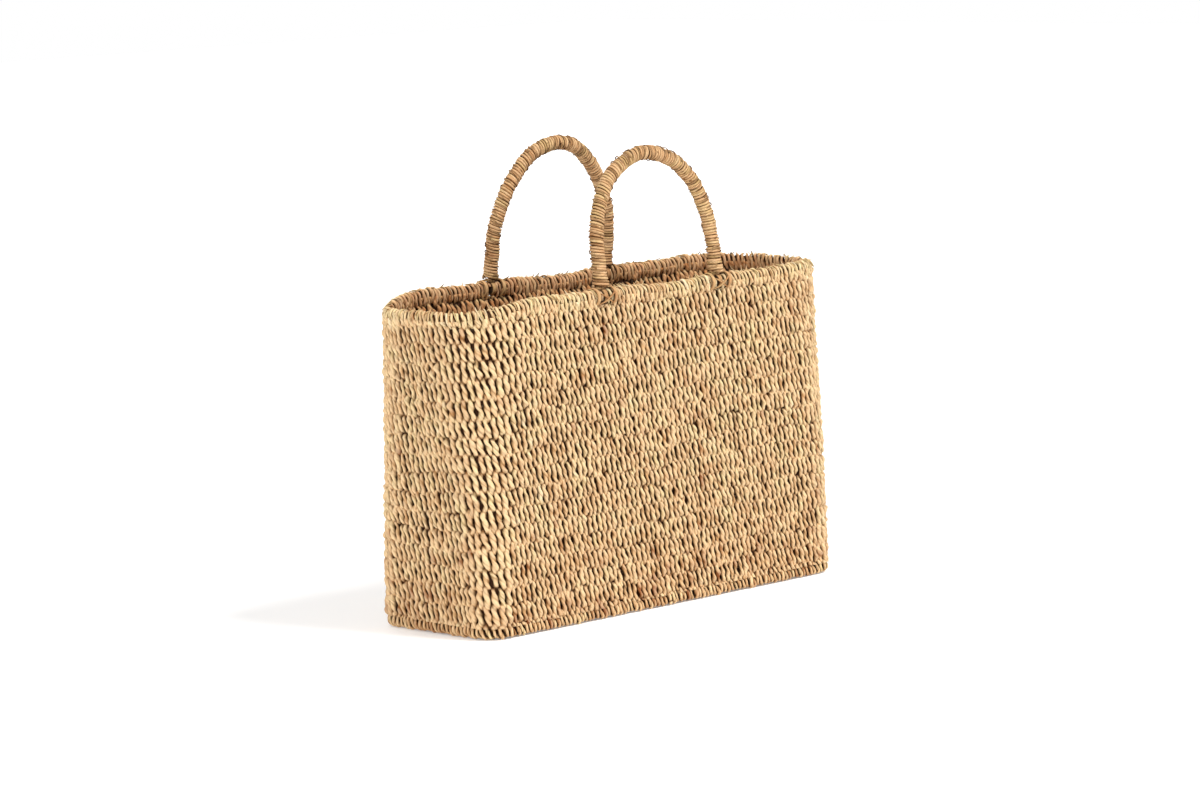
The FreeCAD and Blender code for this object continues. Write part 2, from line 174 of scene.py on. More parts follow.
def sweep(name, strand, segments=8, closed=False, plies=2, relief=1.0):
    """
    Many strands at once, from a dictionary of arrays. centre, side and out are (strand, step, xyz);
    half_side, half_out, tint and core are (strand, step). side and out span each section. core is the
    distance along out from the middle of the weave; what lies deep in it is painted in dark shade. inner,
    where it is given, is how far a strand faces the inside of the basket, which is painted in red-brown
    shade. crossing, where it is given, is 1 where two strands cross, and keeps the crossing as pale as the
    rest. relief strengthens the painted shade on a strand's sides. The crests get a painted sunlit
    highlight.
    A strand of 0 plies is plain and round; on other strands the groove between two plies is painted in
    shade.
    """
    centre, half_side, half_out = strand["centre"], strand["half_side"], strand["half_out"]
    strands, steps = half_side.shape
    angle = np.arange(segments) * 2 * math.pi / segments
    along = np.zeros((strands, steps))
    along[:, 1:] = np.cumsum(np.linalg.norm(np.diff(centre, axis=1), axis=2), axis=1)
    offset = strand["tint"][:, :1, None]
    phase = angle - 2 * math.pi * STRAND_TWIST * along[..., None] + TWIST_SPREAD * offset
    ply = np.abs(np.cos(phase * plies / 2))
    lobe = 1 + PLY_DEPTH * (ply - PLY_EVEN) if plies else 1 + 0 * phase
    across = half_side[..., None] * lobe * np.cos(angle)
    outward = half_out[..., None] * lobe * np.sin(angle)
    points = (centre[:, :, None, :] + strand["side"][:, :, None, :] * across[..., None]
              + strand["out"][:, :, None, :] * outward[..., None])
    grain_along = along[..., None] / GRAIN_LENGTH + GRAIN_SPREAD * offset + 0 * phase
    grain = np.stack([np.cos(phase), np.sin(phase), grain_along], axis=-1)
    quads, caps = strand_faces(strands, steps, segments, closed)
    values = strand_values(strand, outward, ply, relief)
    return make_mesh(name, points.reshape(-1, 3), quads, caps, values, grain)


def gather(strands):
    """Join several strand dictionaries of the same number of steps into one."""
    return {key: np.concatenate([strand[key] for strand in strands]) for key in strands[0]}


# ------------------------------------------------------------------ the basket's outline

def outline(share, height):
    """
    Middle of the wall at a share of the way round and a height: point, outward normal and curvature.
    The way round starts at the middle of the front and runs towards +X.
    """
    part_way = (height - BASE_Z) / (RIM_Z - BASE_Z)
    half_x = BASE_HALF[0] + (RIM_HALF[0] - BASE_HALF[0]) * part_way
    half_y = BASE_HALF[1] + (RIM_HALF[1] - BASE_HALF[1]) * part_way
    corner = BASE_CORNER + (RIM_CORNER - BASE_CORNER) * part_way
    flat_x, flat_y, arc = half_x - corner, half_y - corner, corner * math.pi / 2
    length = 4 * (flat_x + flat_y + arc)
    way = (share % 1) * length
    left = way > length / 2
    mirrored = np.where(left, length - way, way)
    rear = mirrored > length / 4
    quarter = np.where(rear, length / 2 - mirrored, mirrored)
    turn = np.clip((quarter - flat_x) / corner, 0, math.pi / 2)
    x = np.minimum(quarter, flat_x) + corner * np.sin(turn)
    y = -half_y + corner * (1 - np.cos(turn)) + np.clip(quarter - flat_x - arc, 0, None)
    sign_x, sign_y = np.where(left, -1, 1), np.where(rear, -1, 1)
    point = np.stack([x * sign_x, y * sign_y, height + 0 * x], axis=-1)
    normal = np.stack([np.sin(turn) * sign_x, -np.cos(turn) * sign_y, 0 * x], axis=-1)
    curvature = np.where((turn > 0) & (turn < math.pi / 2), 1 / corner, 0.0)
    return point, normal, curvature


def tangent_of(normal):
    """Direction of travel round the basket for an outward normal."""
    return np.stack([-normal[..., 1], normal[..., 0], normal[..., 2]], axis=-1)


def perimeter(half, corner):
    """Length of a rounded rectangle, from its half sides and corner radius."""
    return 4 * sum(half) - (8 - 2 * math.pi) * corner


RIM_LENGTH = perimeter(RIM_HALF, RIM_CORNER)
MEAN_LENGTH = (perimeter(BASE_HALF, BASE_CORNER) + RIM_LENGTH) / 2
COLUMNS = 4 * round(MEAN_LENGTH / COLUMN_PITCH / 4)
FOOT_SHARE = HALF_SPAN / RIM_LENGTH
FEET = (FOOT_SHARE, 0.5 - FOOT_SHARE, 0.5 + FOOT_SHARE, 1 - FOOT_SHARE)


def from_foot(share):
    """Distance along the rim to the nearest foot of a handle."""
    return np.min([np.abs(share - foot) for foot in FEET], axis=0) * RIM_LENGTH


RIM_SAG = 7 * MM              # how far the rim hangs down at the left end
SAG_REACH = (150 * MM, 232 * MM)   # from the middle: where that starts, and where it is full
FOOT_CALM = (8 * MM, 30 * MM)      # from a foot: where the ripples start, and where they are full
SHORT_RIPPLE = 1.0 * MM       # height of the rim's short ripples
LONG_RIPPLE = 0.9 * MM        # and of its long ones
WALL_BULGE = 1.2 * MM         # how far the long walls wander in and out
SHORT_WAVE = (19 * MM, 23 * MM)    # length of each wave over 2 pi: along x and y,
LONG_WAVE = 41 * MM                # along x,
BULGE_WAVE = (37 * MM, 53 * MM)    # and along x and z
ABOVE_RIM = 1.05              # share of the rim's height above which the sag grows no more


def handmade(points):
    """The uneven shape of a hand-woven basket: the left end's rim sags and the walls and rim ripple."""
    x, y, z = points[..., 0], points[..., 1], points[..., 2]
    rise = np.clip(z / RIM_Z, 0, ABOVE_RIM) ** 2
    away_from_feet = smoothstep(np.abs(np.abs(x) - HALF_SPAN), *FOOT_CALM)
    sag = RIM_SAG * smoothstep(-x, *SAG_REACH)
    short_ripple = SHORT_RIPPLE * np.sin(x / SHORT_WAVE[0] + y / SHORT_WAVE[1] + 1.0)
    ripple = short_ripple + LONG_RIPPLE * np.sin(x / LONG_WAVE - 2.0)
    up_the_wall = np.sin(math.pi * np.clip(z / RIM_Z, 0, 1))
    bulge = WALL_BULGE * np.sin(x / BULGE_WAVE[0] + z / BULGE_WAVE[1]) * up_the_wall
    moved = points.copy()
    moved[..., 2] = z + (ripple * away_from_feet - sag) * rise
    moved[..., 1] = y + bulge * np.sign(y)
    return moved


# ------------------------------------------------------------------ the woven pieces

EYE_CLEAR = 6.7 * MM          # from a hinge line to the weave below a handle's eye
TWINE_SWAY = 1.4 * MM         # how far a strand moves sideways where it changes sides
TWINE_HOOK = 0.15 * MM        # how much of that happens close to the crossing
TWINE_DEPTH = 2.45 * MM       # from the middle of the wall to a strand's centre
TWINE_BIAS = 1.3 * MM         # how far outwards two strands cross
TWINE_SQUARE = 1.8            # how squarely a strand turns from one side of the wall to the other
STAIN = (-72 * MM, 258 * MM)  # orange-brown patch on the front, under the left foot: x and z
STAIN_HALF = (5 * MM, 12 * MM)     # its half width and half height
STAIN_SHARE = 0.6             # how much it lowers a strand's tint
LOW_DARKENING = 0.16             # how much darker the weave is near the floor
LOW_DARKENING_HEIGHT = (10 * MM, 110 * MM)  # where that starts to fade, and where it has gone
LOW_EDGE = 0.32               # where the columns start above the base ring, in course pitches
UNDER_RIM = 1.5 * MM          # and where they end below the rim wire
EYE_WIDTH = 7.0 * MM          # columns this near to a foot stay clear of its eye
CORNER_SWELL = 3.3            # how much fuller the strands get where the wall turns a corner
LEAST_CORE = 1.2 * MM         # a strand nearer to the wall's middle swells as if it were here
FULLEST_FLAT = 1.6 * MM       # least half width of a strand on a flat wall
FULLEST_CORNER = 1.85 * MM    # and round a corner
STEPS_PER_COURSE = 9
CROSSING_MM = (1.45, 2.85)    # half width and half thickness of a strand where two of them cross
BEAD_MM = (0.68, -0.8)        # and what a bead adds to them at its middle
UNEVEN_TURN = 0.26            # spreads of the random unevenness: of a strand's winding,
UNEVEN_SWAY = 0.4 * MM        # its place along the wall,
UNEVEN_CORE = 0.3 * MM        # its depth in the wall,
UNEVEN_SIZE = 0.13            # its thickness,
UNEVEN_TINT = 0.14            # its tint from place to place,
STRAND_TINT = 0.05            # and the whole strand's tint


def twined(phase):
    """Sideways sway, depth and half sizes of a strand that winds round wires, from its phase."""
    front = np.cos(phase)
    bead = np.abs(front)
    return {
        "sway": TWINE_HOOK * np.sin(3 * phase) - TWINE_SWAY * np.sin(phase),
        "core": (TWINE_DEPTH * np.tanh(TWINE_SQUARE * front) / math.tanh(TWINE_SQUARE)
                 + TWINE_BIAS * (1 - bead) ** 1.5),
        "half_side": (CROSSING_MM[0] + BEAD_MM[0] * bead) * MM,
        "half_out": (CROSSING_MM[1] + BEAD_MM[1] * bead) * MM,
        "crossing": 1 - bead,
    }


def column_tint(centre, z):
    """Tone of the columns' strands: uneven, darker towards the bottom, and stained in one place."""
    count, steps = z.shape
    stain_x = (centre[..., 0] - STAIN[0]) / STAIN_HALF[0]
    stain_z = (centre[..., 2] - STAIN[1]) / STAIN_HALF[1]
    stain = np.exp(-stain_x ** 2 - stain_z ** 2) * (centre[..., 1] < 0)
    darker_low = LOW_DARKENING * (1 - smoothstep(z, *LOW_DARKENING_HEIGHT))
    mottled = 0.5 + uneven(count, COURSES * 2, steps, UNEVEN_TINT) + rng.normal(0, STRAND_TINT, (count, 1))
    return mottled - STAIN_SHARE * stain - darker_low


def woven_columns(name, first, last):
    """Twined pairs of strands, from column first to last, winding round the course wires."""
    columns = np.arange(first, last)
    count = len(columns)
    steps = COURSES * STEPS_PER_COURSE + 1
    share = (columns[:, None] + 0.5) / COLUMNS
    edge = LOW_EDGE * COURSE_PITCH
    top = np.where(from_foot(share) < EYE_WIDTH, RIM_Z - EYE_CLEAR, RIM_Z - UNDER_RIM)
    z = BASE_Z + edge + (top - BASE_Z - edge) * np.linspace(0, 1, steps)[None, :]
    number = columns[:, None]
    short_drift = 0.5 * np.sin(number / 5.3 + z / (31 * MM))
    drift = short_drift * np.sin(z / (47 * MM) + number / 17)
    both = []
    for half_turn in (0, 1):
        phase = math.pi * ((z - BASE_Z) / COURSE_PITCH + half_turn)
        shape = twined(phase + drift + uneven(count, COURSES * 2, steps, UNEVEN_TURN))
        point, normal, curvature = outline(share + 0 * z, z)
        tangent = tangent_of(normal)
        sway = shape["sway"] + uneven(count, COURSES * 3, steps, UNEVEN_SWAY)
        core = shape["core"] + uneven(count, COURSES * 3, steps, UNEVEN_CORE)
        centre = handmade(point + tangent * sway[..., None] + normal * core[..., None])
        swell = CORNER_SWELL * curvature * np.clip(core, LEAST_CORE, None)
        size = 1 + uneven(count, COURSES * 3, steps, UNEVEN_SIZE) + swell
        fullest = np.where(curvature > 0, FULLEST_CORNER, FULLEST_FLAT)
        both.append({"centre": centre, "side": tangent, "out": normal,
                     "half_side": np.maximum(shape["half_side"], fullest) * size,
                     "half_out": shape["half_out"] * size, "tint": column_tint(centre, z),
                     "core": core, "crossing": shape["crossing"]})
    return sweep(name, gather(both))


def shade_sheet(name):
    """A sheet painted in full dark shade inside the wall, between the columns, where the light dies out."""
    steps = COURSES + 1
    share = (np.arange(COLUMNS) / COLUMNS)[:, None]
    z = np.linspace(BASE_Z, RIM_Z - EYE_CLEAR, steps)[None, :]
    point, normal, _ = outline(share + 0 * z, z + 0 * share)
    shape = (COLUMNS, steps)
    return sweep(name, {
        "centre": handmade(point), "side": tangent_of(normal), "out": normal,
        "half_side": np.full(shape, 3.3 * MM), "half_out": np.full(shape, 0.7 * MM),
        "tint": np.full(shape, 0.3), "core": np.zeros(shape)}, segments=6, plies=0)


TURNS_PER_COLUMN = 0.62       # of each of the two strands that wrap an edge
RIM_REACHES = (3.0 * MM, 4.5 * MM, 8 * MM)     # how far they reach round the rim wire: out, up and down
BASE_REACHES = (3.0 * MM, 6 * MM, 2.5 * MM)    # and round the base ring
RIM_PALER, BASE_PALER = 0.05, -0.14
EYE_GAP = 3.6 * MM            # from the middle of a foot to the wraps beside it


def wrapped_edge(height, start, end, reach_out, reach_up, reach_down, paler=0.0):
    """
    Two strands wound over the wire that closes an edge, between two shares of the way round. The
    reaches are from the wire to the strands' centres. paler is added to the strands' tint.
    """
    half_side, half_out = 1.6 * MM, 1.5 * MM
    wound = 2
    per_turn = 24
    turns = (end - start) * COLUMNS * TURNS_PER_COLUMN
    steps = int(turns * per_turn)
    way = np.linspace(0, 1, steps)
    strands = []
    for number in range(wound):
        angle = uneven(1, max(steps // 14, 3), steps, 0.3) - 2 * math.pi * (turns * way + number / wound)
        share = start + (end - start) * way[None, :]
        point, normal, _ = outline(share, np.full((1, steps), height))
        rise = np.where(np.sin(angle) > 0, reach_up, reach_down) * np.sin(angle)
        radial = normal * np.cos(angle)[..., None] + UP * np.sin(angle)[..., None]
        swell = 1 + uneven(1, max(steps // 10, 3), steps, 0.11)
        outwards = normal * (reach_out * swell * np.cos(angle))[..., None]
        centre = point + outwards + UP * (rise * swell)[..., None]
        strands.append({
            "centre": handmade(centre), "side": tangent_of(normal), "out": radial,
            "half_side": half_side * swell, "half_out": half_out * swell,
            "tint": 0.5 + paler + uneven(1, max(steps // 30, 3), steps, 0.2),
            "core": 3.0 * MM + 0 * angle, "inner": smoothstep(-np.cos(angle), -0.2, 0.7)})
    return gather(strands)


def rim_shade_core(name, start, end):
    """Straw round the rim wire, under the wraps, painted in full dark shade, between two shares of the way
    round.
    """
    steps = int((end - start) * COLUMNS) + 2
    below_wire = np.full((1, steps), RIM_Z - 2.2 * MM)
    point, normal, _ = outline(np.linspace(start, end, steps)[None, :], below_wire)
    down = np.broadcast_to(np.array([0.0, 0.0, -1.0]), point.shape)
    return sweep(name, {
        "centre": handmade(point), "side": down, "out": normal, "half_side": np.full((1, steps), 5.6 * MM),
        "half_out": np.full((1, steps), 2.4 * MM), "tint": np.full((1, steps), 0.3),
        "core": np.zeros((1, steps))}, segments=10, plies=0)


def rim_fringe(name, count):
    """Thin plies that lie across the rim's crest at odd angles, their tips standing off it."""
    steps = 14
    way = np.linspace(0, 1, steps)[None, :]
    share = rng.random((count, 1))
    share = np.where(from_foot(share) < 9 * MM, share + 0.02, share)
    first, last = rng.uniform(-0.5, 0.9, (count, 1)), rng.uniform(1.6, 3.6, (count, 1))
    angle = first + (last - first) * way
    slant = rng.uniform(-5.5, -1.0, (count, 1)) * MM / RIM_LENGTH
    point, normal, _ = outline(share + slant * way, np.full((count, steps), RIM_Z))
    last_lift = rng.uniform(0.1, 0.7, (count, 1)) * way ** 6
    first_lift = rng.uniform(0.0, 0.6, (count, 1)) * (1 - way) ** 6
    lift = 1 + last_lift + first_lift
    outwards = normal * (4.3 * MM * lift * np.cos(angle))[..., None]
    centre = point + outwards + UP * (5.8 * MM * lift * np.sin(angle))[..., None]
    radial = normal * np.cos(angle)[..., None] + UP * np.sin(angle)[..., None]
    thin = rng.uniform(0.6, 0.9, (count, 1)) * MM * (1 - 0.5 * np.abs(2 * way - 1) ** 4)
    return sweep(name, {
        "centre": handmade(centre), "side": tangent_of(normal), "out": radial, "half_side": thin,
        "half_out": 0.75 * thin, "tint": rng.uniform(0.3, 1.0, (count, 1)) + 0 * thin,
        "core": 3.4 * MM + 0 * thin, "inner": smoothstep(-np.cos(angle), -0.2, 0.7)}, segments=5, plies=0)


def rim_pieces():
    """The rim's wraps and their core of painted shade, in four stretches that leave a gap for each handle's
    eye.
    """
    gap = EYE_GAP / RIM_LENGTH
    starts = (FEET[3] - 1,) + FEET[:3]
    pieces = []
    for where, start, end in zip(("front", "right", "back", "left"), starts, FEET):
        wraps = wrapped_edge(RIM_Z, start + gap, end - gap, *RIM_REACHES, RIM_PALER)
        pieces.append(sweep(f"rim_wraps_{where}", wraps, relief=1.4))
        pieces.append(rim_shade_core(f"rim_shade_core_{where}", start + gap, end - gap))
    return pieces


def base_columns(name):
    """The base mat: twined pairs that run across the basket over the long base wires."""
    half_x = BASE_HALF[0] - 4 * MM
    count = int(2 * half_x / COLUMN_PITCH)
    x = ((np.arange(count) + 0.5) / count * 2 * half_x - half_x)[:, None]
    base_courses = sum(node.startswith("base_wire_") for node in frame["nodes"]) + 1
    steps = base_courses * 7 + 1
    into_corner = np.clip(np.abs(x) - (BASE_HALF[0] - BASE_CORNER), 0, None)
    half_y = BASE_HALF[1] - BASE_CORNER + np.sqrt(BASE_CORNER ** 2 - into_corner ** 2) - 3 * MM
    y = np.linspace(-1, 1, steps)[None, :] * half_y
    both = []
    for half_turn in (0, 1):
        phase = math.pi * ((y + BASE_HALF[1]) / (2 * BASE_HALF[1]) * base_courses + half_turn)
        shape = twined(phase + uneven(count, base_courses, steps, 0.15))
        core = shape["core"] * 0.85
        centre = np.stack([x - shape["sway"], y, BASE_Z - 0.3 * MM - core], axis=-1)
        both.append({
            "centre": centre, "side": np.broadcast_to(ALONG_X, centre.shape),
            "out": np.broadcast_to(-UP, centre.shape),
            "half_side": shape["half_side"] * 1.05, "half_out": shape["half_out"] * 0.95,
            "tint": 0.5 + uneven(count, base_courses, steps, 0.2), "core": core})
    return sweep(name, gather(both))


# ------------------------------------------------------------------ handles

def arch_points(rise, start, count):
    """Middle line of an arch in its own plane, evenly spaced from its left foot: x, z, turn and way."""
    inward, drop = HANDLE_SHOULDER - HALF_SPAN, HANDLE_SHOULDER - (rise - HANDLE_LEG)
    crown = HANDLE_SHOULDER - (inward ** 2 + drop ** 2) / (2 * drop)
    meet = math.acos(inward / (HANDLE_SHOULDER - crown))
    leg = HANDLE_LEG - start
    half = leg + HANDLE_SHOULDER * meet + crown * (math.pi / 2 - meet)
    way = np.linspace(0, 2 * half, count)
    near = np.minimum(way, 2 * half - way)
    shoulder = np.clip((near - leg) / HANDLE_SHOULDER, 0, meet)
    top = np.clip((near - leg - HANDLE_SHOULDER * meet) / crown, 0, math.pi / 2 - meet)
    turn = shoulder + top
    x = np.where(top > 0, crown * np.cos(turn), HANDLE_SHOULDER * np.cos(shoulder) - inward)
    z = np.where(top > 0, rise - crown + crown * np.sin(turn),
                 np.minimum(near + start, HANDLE_LEG) + HANDLE_SHOULDER * np.sin(shoulder))
    right_half = way > half
    return np.where(right_half, x, -x), z, np.where(right_half, -turn, turn), way


def handle_axes(side):
    """A handle's hinge point, and the directions across its arch and up it."""
    hinge = np.array(JOINTS[f"{side}_handle_hinge"]["pos_m"])
    inward = -np.sign(hinge[1])
    up = np.array([0, inward * math.sin(HANDLE_LEAN), math.cos(HANDLE_LEAN)])
    across = np.array([0, math.cos(HANDLE_LEAN), -inward * math.sin(HANDLE_LEAN)])
    return hinge, across, up


def in_row_frame(side, x, y, z):
    """Points given along a handle's own axes, measured from its hinge."""
    hinge, across, up = handle_axes(side)
    return hinge + x[..., None] * ALONG_X + y[..., None] * across + z[..., None] * up


def turned(side, x, y, z):
    """The same for directions."""
    return in_row_frame(side, x, y, z) - handle_axes(side)[0]


def handle_rise(side):
    """Height of the crown's middle line above the hinge, along the leaning arch."""
    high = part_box(f"{side}_handle_wrap")[1].z
    return (high - RIM_Z - GRIP_RADIUS) / math.cos(HANDLE_LEAN)


GRIP_START = 8.7 * MM         # where the winding of a grip starts, from its hinge
GRIP_STEPS = 18               # sections per turn
GRIP_CORE = 2.55 * MM         # the winding is shaded as if it lay this far out of a wall's middle
# how much stronger the painted shade on the winding's sides is
GRIP_RELIEF = 1.8
FOOT_SWELL = 1.3 * MM         # how much thicker the winding is at a foot
FOOT_SWELL_REACH = 5 * MM


def grip_strand(side, pitch, half_side, half_out, radius, jitter):
    """One strand wound round the grip from foot to foot, fuller at the feet."""
    length = arch_points(handle_rise(side), GRIP_START, 3)[3][-1]
    steps = round(length / pitch) * GRIP_STEPS
    x, z, turn, way = arch_points(handle_rise(side), GRIP_START, steps)
    foot = np.exp(-np.minimum(way, length - way) / FOOT_SWELL_REACH)
    angle = 2 * math.pi * way / pitch + uneven(1, 150, steps, jitter)[0]
    radius = radius + uneven(1, 220, steps, 0.14 * MM)[0] + FOOT_SWELL * foot
    sway = uneven(1, 26, steps, 0.4 * MM)[0]
    slip = 0.7 * MM * np.sin(angle + 0.6)
    normal_x, normal_z = -np.cos(turn), np.sin(turn)
    reach = radius * np.cos(angle) + sway
    centre = in_row_frame(side, x + normal_x * reach + slip * np.sin(turn), radius * np.sin(angle),
                          z + normal_z * reach + slip * np.cos(turn))
    out = turned(side, normal_x * np.cos(angle), np.sin(angle), normal_z * np.cos(angle))
    along = turned(side, np.sin(turn), 0 * turn, np.cos(turn))
    size = 1 + uneven(1, 300, steps, 0.11)
    return {
        "centre": centre[None], "side": along[None], "out": out[None], "half_side": half_side * size,
        "half_out": half_out * size, "tint": 0.5 + uneven(1, 300, steps, 0.16),
        "core": np.full((1, steps), GRIP_CORE)}


def handle_wrapping(side):
    """The close winding of a grip, and a thin strand that crosses it at a steeper angle."""
    close = grip_strand(side, pitch=2.6 * MM, half_side=1.3 * MM, half_out=1.0 * MM,
                        radius=GRIP_RADIUS - 1.0 * MM, jitter=0.6)
    steep = grip_strand(side, pitch=7.4 * MM, half_side=0.6 * MM, half_out=0.5 * MM,
                        radius=GRIP_RADIUS + 0.1 * MM, jitter=1.2)
    return (sweep(f"{side}_handle_strand", close, plies=0, relief=GRIP_RELIEF),
            sweep(f"{side}_handle_cross_strand", steep, segments=6, plies=0, relief=GRIP_RELIEF))


def around_hinge(side, x, angle, radius):
    """Points round a hinge line: angle 0 points out of the basket and a quarter turn points up."""
    hinge = np.array(JOINTS[f"{side}_handle_hinge"]["pos_m"])
    outward = np.array([0, np.sign(hinge[1]), 0])
    radial = outward * np.cos(angle)[..., None] + UP * np.sin(angle)[..., None]
    return hinge + x[..., None] * ALONG_X + radial * radius[..., None], radial


TIED_CORE = 3.2 * MM          # the lashings are shaded as if they lay this far out of a wall's middle


def hinge_strand(side, x, angle, radius, half_side, half_out, tint):
    """One strand round a hinge line, as a dictionary for sweep."""
    centre, radial = around_hinge(side, x, angle, radius)
    shape = (1, len(x))
    return {
        "centre": centre[None], "side": np.broadcast_to(ALONG_X, (*shape, 3)), "out": radial[None],
        "half_side": np.full(shape, half_side), "half_out": np.full(shape, half_out),
        "tint": tint + uneven(1, 6, len(x), 0.12), "core": np.full(shape, TIED_CORE)}


def leg_winding(side, foot, way):
    """Three turns round the foot of a leg, just above its eye."""
    angle = 2 * math.pi * 3 * way
    height = (5 + 5.5 * way) * MM
    ring = 2.1 * MM
    shape = (1, len(way))
    out = turned(side, np.cos(angle), np.sin(angle), 0 * angle)
    return {
        "centre": in_row_frame(side, foot + ring * np.cos(angle), ring * np.sin(angle), height)[None],
        "side": turned(side, 0 * angle, 0 * angle, 1 + 0 * angle)[None], "out": out[None],
        "half_side": np.full(shape, 1.1 * MM), "half_out": np.full(shape, 0.8 * MM),
        "tint": np.full(shape, 0.4), "core": np.full(shape, TIED_CORE)}


def sole_strand(side, foot, way, number):
    """One of five strands laid over the rim under a foot, slanting one way and the other in turn."""
    slant = 1 if number % 2 else -1
    x = foot + slant * 7.5 * MM * (2 * way - 1)
    wander = 0.2 * np.sin(2 * math.pi * way + number)
    turn = math.radians(97) + math.radians(9) * (number - 2) + wander
    radius = (7.9 + 0.25 * slant) * MM + 0 * way
    return hinge_strand(side, x, turn, radius, half_side=1.3 * MM, half_out=0.75 * MM, tint=0.6)


def eye_binding(side):
    """Turns of strand that cover a handle's eyes and the foot of each leg; they turn with it."""
    steps = 120
    way = np.linspace(0, 1, steps)
    spread = EYE_HALF_WIDTH - 0.7 * MM
    strands = []
    for foot in (-HALF_SPAN, HALF_SPAN):
        round_eye = hinge_strand(side, foot + spread * (2 * way - 1), 2 * math.pi * 3 * way,
                                 np.full(steps, 5.7 * MM), half_side=1.0 * MM, half_out=0.8 * MM, tint=0.35)
        strands.append(round_eye)
        strands.append(leg_winding(side, foot, way))
        strands.extend(sole_strand(side, foot, way, number) for number in range(5))
    return sweep(f"{side}_eye_binding", gather(strands), plies=0)


def foot_lashing(side, end, foot):
    """Turns of strand round the rim on both sides of a foot, crossed on the wall below it."""
    steps = 110
    way = np.linspace(0, 1, steps)
    strands = []
    for beside in (-1, 1):
        x = foot + beside * (9.6 + 2.2 * way) * MM
        angle = 2 * math.pi * 2 * way + 1.5 * math.pi
        strands.append(hinge_strand(side, x, angle, np.full(steps, 7.1 * MM),
                                    half_side=1.35 * MM, half_out=0.9 * MM, tint=0.45))
        cross = foot + beside * (10 - 20 * way) * MM
        tuck = 2.4 * MM * (2 * way - 1) ** 6
        radius = 7.8 * MM + 0.4 * MM * beside - tuck
        strands.append(hinge_strand(side, cross, 0.6 - 1.6 * way, radius,
                                    half_side=1.35 * MM, half_out=0.8 * MM, tint=0.3))
    return sweep(f"foot_lashing_{side}_{end}_strands", gather(strands), plies=0)


def closed_bar(name, centre, radius):
    """A plain round bar along a closed path in the row frame."""
    ahead = np.roll(centre, -1, 0) - np.roll(centre, 1, 0)
    ahead /= np.linalg.norm(ahead, axis=1)[:, None]
    across = np.cross(ahead, np.array([0, 1.0, 0.01]))
    across /= np.linalg.norm(across, axis=1)[:, None]
    shape = (1, len(centre))
    return sweep(name, {
        "centre": centre[None], "side": across[None], "out": np.cross(across, ahead)[None],
        "half_side": np.full(shape, radius), "half_out": np.full(shape, radius),
        "tint": np.full(shape, 0.5), "core": np.full(shape, 5 * MM)}, segments=10, closed=True, plies=0)


# ------------------------------------------------------------------ loose ends

RIM_TIPS = 0.75               # share of the frayed tips that stand on the rim
TIP_CLEAR = 14 * MM           # a tip nearer to a foot than this is moved on by the next share
TIP_MOVE = 0.03


def loose_ends(name, count):
    """Thin frayed tips that stand off the rim, the corners and the walls."""
    steps = 7
    way = np.linspace(0, 1, steps)[None, :]
    on_rim = rng.random((count, 1)) < RIM_TIPS
    share = rng.random((count, 1))
    share = np.where(from_foot(share) < TIP_CLEAR, share + TIP_MOVE, share)
    height = np.where(on_rim, RIM_Z, BASE_Z + (RIM_Z - BASE_Z) * rng.random((count, 1)))
    point, normal, _ = outline(share, height)
    tangent = tangent_of(normal)
    tilt = np.where(on_rim, rng.uniform(0.6, 2.6, (count, 1)), rng.uniform(-0.3, 0.3, (count, 1)))
    away = normal * np.cos(tilt)[..., None] + UP * np.sin(tilt)[..., None]
    lean = rng.uniform(-1.2, 1.2, (count, 1))
    root = handmade(point) + away * 4.2 * MM
    length = rng.uniform(2.5, 6.0, (count, 1)) * MM
    curl = way ** 2 * rng.uniform(-0.4, 0.4, (count, 1))
    direction = away + tangent * lean[..., None]
    centre = root + direction * (length * way)[..., None] + UP * (length * curl)[..., None]
    thin = 0.6 * MM * (1 - 0.7 * way) + 0 * length
    return sweep(name, {
        "centre": centre, "side": tangent + 0 * centre, "out": away + 0 * centre, "half_side": thin,
        "half_out": 0.6 * thin, "tint": rng.uniform(0.2, 0.9, (count, 1)) + 0 * thin,
        "core": 5 * MM + 0 * thin}, segments=5, plies=0)


# ------------------------------------------------------------------ materials

NOISE_SPAN = (0.3, 0.7)       # most of a noise texture's values lie in here
FIBRE_STRETCH = (1.5, 1.5, 0.25)
STREAKS = (0.36, 0.55, 0.6, 0.0)    # the next five: a value's range, then the colour's share at its ends
# the grooves between plies: painted shade
GROOVES = (0.45, 1.0, 0.0, 0.55)
# the crests: a painted sunlit highlight
CRESTS = (0.0, 1.0, 0.0, 0.28)
# faces towards the inside: painted red-brown shade
INSIDE = (0.0, 1.0, 0.0, 0.32)
# deep in the weave: painted dark shade
DEPTHS = (0.0, 1.0, 0.0, 0.97)
# the tone of the painted highlight on the crests, then the painted shade inwards and deep in the weave
SUNLIT = (255, 234, 196)
INNER_SHADE = (186, 94, 42)
DEEP_SHADE = (44, 16, 3)
STRAW_ROUGHNESS = (0.8, 0.5)
DULL_SPECULAR = 0.1


def screen_colour(red, green, blue):
    """A colour written as it looks on a screen, 0 to 255, as linear light."""
    return [((value / 255 + 0.055) / 1.055) ** 2.4 for value in (red, green, blue)] + [1.0]


def add_node(tree, kind, **settings):
    """A node with its own properties set, or its inputs of the same name."""
    node = tree.nodes.new(kind)
    for key, value in settings.items():
        if hasattr(node, key):
            setattr(node, key, value)
        else:
            node.inputs[key.replace("_", " ").title()].default_value = value
    return node


def mixed(tree, first, second, factor):
    """Mix two colours: each is an output socket or a plain colour."""
    mix = tree.nodes.new("ShaderNodeMix")
    mix.data_type = "RGBA"
    for socket, value in ((mix.inputs["A"], first), (mix.inputs["B"], second)):
        if isinstance(value, bpy.types.NodeSocket):
            tree.links.new(value, socket)
        else:
            socket.default_value = value
    tree.links.new(factor, mix.inputs["Factor"])
    return mix.outputs["Result"]


